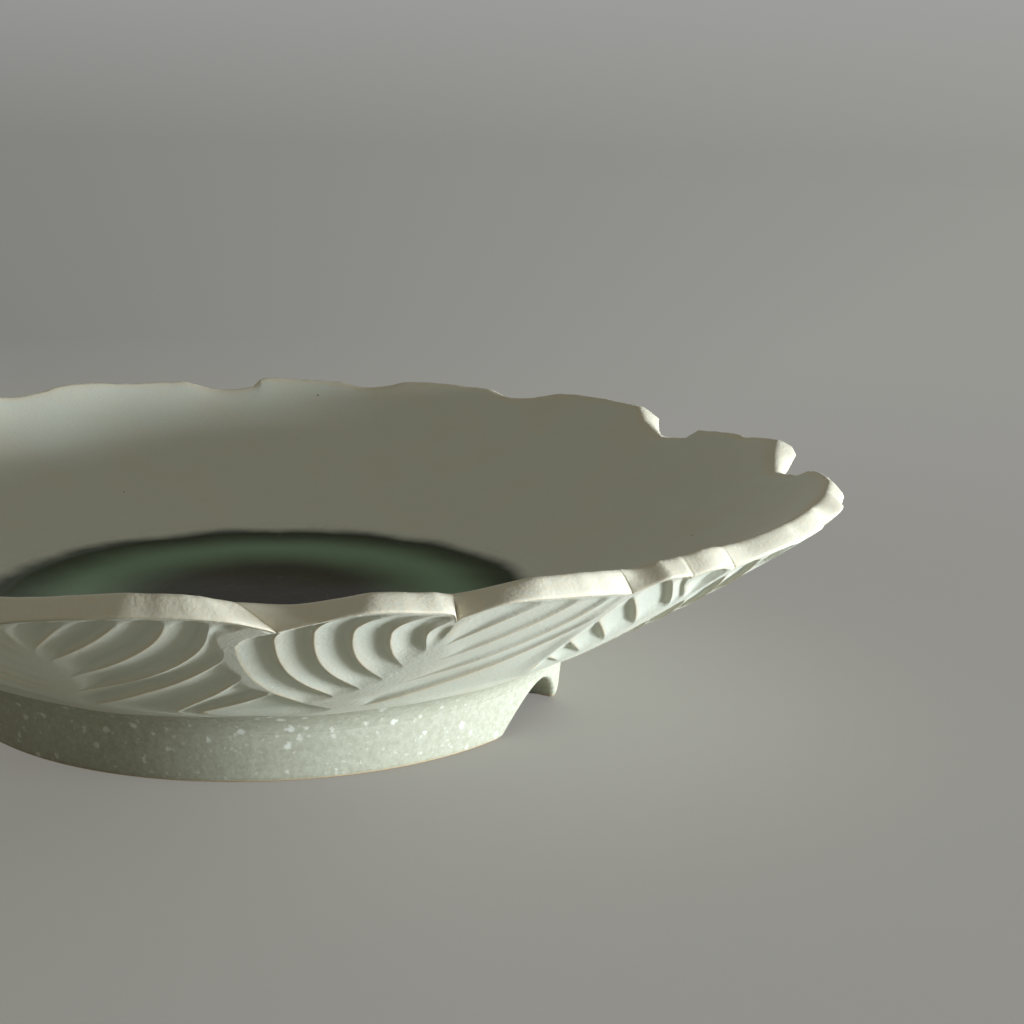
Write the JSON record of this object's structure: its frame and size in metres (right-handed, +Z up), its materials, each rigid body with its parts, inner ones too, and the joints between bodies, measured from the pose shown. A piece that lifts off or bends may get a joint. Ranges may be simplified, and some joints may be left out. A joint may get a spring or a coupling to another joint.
{
  "type": "salad plate",
  "caption": "Flared stoneware salad plate with a scalloped rim, fluted leaves carved round the outside, a notched foot ring and a dark green glass pool in its well.",
  "frame": {"origin": "middle of the foot ring's standing face, on the table", "axes": "+Z up out of the dish, X through the two notches of the foot ring"},
  "size_m": [0.2234, 0.2235, 0.0464],
  "materials": {
    "pale_glaze": "satin pale celadon ash glaze",
    "foot_glaze": "satin pale glaze with white crystals",
    "slip_clay": "wiped slip under thin glaze",
    "green_glass": "glossy dark green pooled glass"
  },
  "bodies": {
    "root": {"dish": "pale_glaze", "foot_ring": "foot_glaze", "luting_slip": "slip_clay", "well_glaze": "green_glass"}
  },
  "joints": []
}
